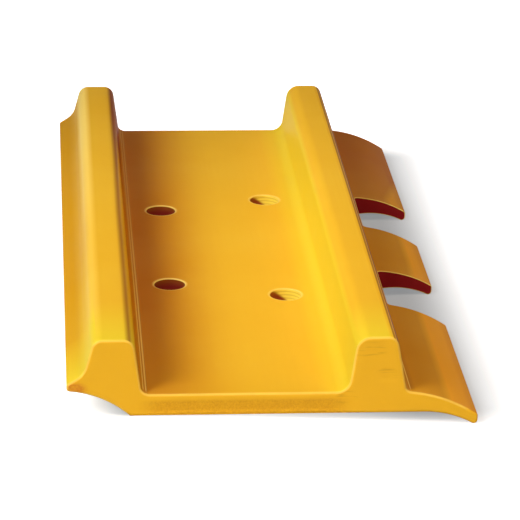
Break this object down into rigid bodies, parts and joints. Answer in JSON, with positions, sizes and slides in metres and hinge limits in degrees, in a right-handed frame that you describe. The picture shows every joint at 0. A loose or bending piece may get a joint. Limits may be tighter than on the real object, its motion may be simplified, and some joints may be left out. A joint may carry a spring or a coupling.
{
  "type": "excavator track shoe",
  "caption": "Crawler track shoe: a flat link plate with a grouser along each side, a hooked leading lip and a curved, notched trailing lip.",
  "frame": {"origin": "centre of the four-hole bolt pattern, on the flat underside that seats on the track links, at half the shoe's length", "axes": "+Y along the shoe's length (across the track), +X from the leading lip to the trailing lip, +Z out of the link seat, up through the grousers"},
  "size_m": [0.239, 0.49, 0.0552],
  "materials": {
    "yellow_paint": "satin industrial enamel on rolled steel"
  },
  "bodies": {
    "root": {"track_shoe": "yellow_paint"}
  },
  "joints": []
}
